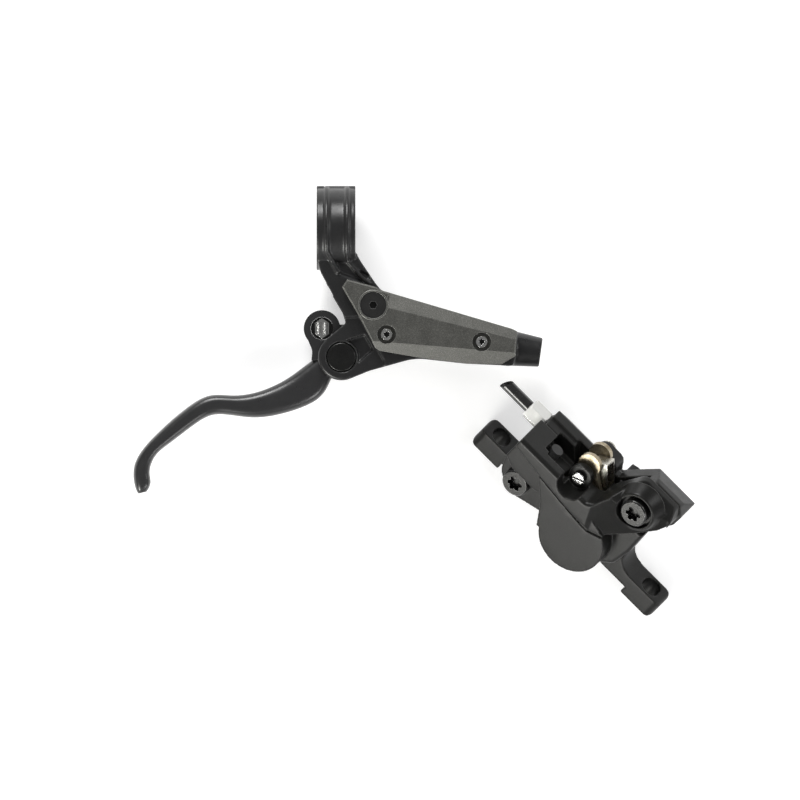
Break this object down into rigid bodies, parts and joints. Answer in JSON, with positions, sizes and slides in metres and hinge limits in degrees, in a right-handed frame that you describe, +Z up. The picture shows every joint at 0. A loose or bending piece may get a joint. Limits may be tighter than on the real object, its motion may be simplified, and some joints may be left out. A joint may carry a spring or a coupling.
{
  "type": "hydraulic disc brake",
  "caption": "Bicycle hydraulic disc brake: bar-clamped lever with faceted reservoir over a master cylinder, and a post-mount caliper with sprung pads and a hose stub.",
  "frame": {"origin": "centre of the handlebar clamp", "axes": "+X along the handlebar, +Y away from the lever blade, +Z up out of the reservoir cover"},
  "size_m": [0.1967, 0.1506, 0.055],
  "materials": {
    "black_paint": "satin",
    "caliper_paint": "satin",
    "blade_paint": "satin",
    "grey_satin": "satin",
    "grey_metal": "satin",
    "plain_steel": "satin",
    "black_steel": "satin",
    "bright_steel": "polished",
    "spring_steel": "satin",
    "pad_steel": "satin",
    "piston_alloy": "satin",
    "brass": "satin",
    "rubber": "matte",
    "black_plastic": "matte",
    "bush_plastic": "matte",
    "piston_plastic": "matte",
    "lining": "matte",
    "hose_black": "gloss"
  },
  "bodies": {
    "fixed_set": {"lever_bracket": "black_paint", "clamp_band": "black_paint", "clamp_hinge_pin": "plain_steel", "clamp_bolt": "black_steel", "reservoir_cover": "grey_satin", "reservoir_diaphragm": "rubber", "cover_screws": "plain_steel", "bleed_plug": "black_plastic", "bleed_plug_o_ring": "rubber", "lever_pivot_pin": "black_steel", "pivot_retaining_clip": "plain_steel", "return_spring": "spring_steel", "piston_stop_clip": "spring_steel", "piston_dust_boot": "rubber", "caliper_front_half": "caliper_paint", "caliper_mount_half": "caliper_paint", "transfer_port_o_ring": "rubber", "caliper_body_bolts": "black_steel", "front_piston_seal": "rubber", "rear_piston_seal": "rubber", "pad_spring": "spring_steel", "pad_axle": "bright_steel", "pad_axle_clip": "spring_steel", "bleed_nipple": "plain_steel", "bleed_nipple_cap": "rubber", "hose_nut": "bright_steel", "hose_olive": "brass", "hose_stub": "hose_black", "hose_insert": "plain_steel"},
    "blade": {"lever_blade": "blade_paint", "pivot_bushes": "bush_plastic"},
    "push_rod_set": {"push_rod_barrel": "grey_metal", "push_rod": "plain_steel"},
    "piston_set": {"master_piston": "piston_alloy", "primary_seal": "rubber", "secondary_seal": "rubber"},
    "front_pad_set": {"front_piston": "piston_plastic", "front_pad_plate": "pad_steel", "front_pad_lining": "lining"},
    "rear_pad_set": {"rear_piston": "piston_plastic", "rear_pad_plate": "pad_steel", "rear_pad_lining": "lining"}
  },
  "joints": [
    {"name": "lever_swing", "type": "hinge", "parent": "fixed_set", "child": "blade", "pos_m": [0.0019, -0.0448, -0.003], "axis": [0, 0, -1], "range_deg": [0, 18], "stiffness_Nm_per_rad": 0.6, "springref_deg": -8.59},
    {"name": "push_rod_swing", "type": "hinge", "parent": "blade", "child": "push_rod_set", "pos_m": [-0.0049, -0.0348, -0.003], "axis": [0, 0, 1], "range_deg": [0, 11.8]},
    {"name": "master_piston_slide", "type": "slide", "parent": "fixed_set", "child": "piston_set", "axis": [0.9903, -0.1392, 0], "range_m": [0, 0.00332], "deforming": ["return_spring"]},
    {"name": "front_pad_slide", "type": "slide", "parent": "fixed_set", "child": "front_pad_set", "axis": [0.445, 0.445, -0.7771], "range_m": [0, 0.00036]},
    {"name": "rear_pad_slide", "type": "slide", "parent": "fixed_set", "child": "rear_pad_set", "axis": [-0.445, -0.445, 0.7771], "range_m": [0, 0.00036]}
  ],
  "couplings": [
    {"joint": "push_rod_swing", "follows": "lever_swing", "ratio": 0.6512},
    {"joint": "master_piston_slide", "follows": "lever_swing", "m_per_rad": 0.010532},
    {"joint": "front_pad_slide", "follows": "lever_swing", "m_per_rad": 0.0011141},
    {"joint": "rear_pad_slide", "follows": "lever_swing", "m_per_rad": 0.0011141}
  ]
}
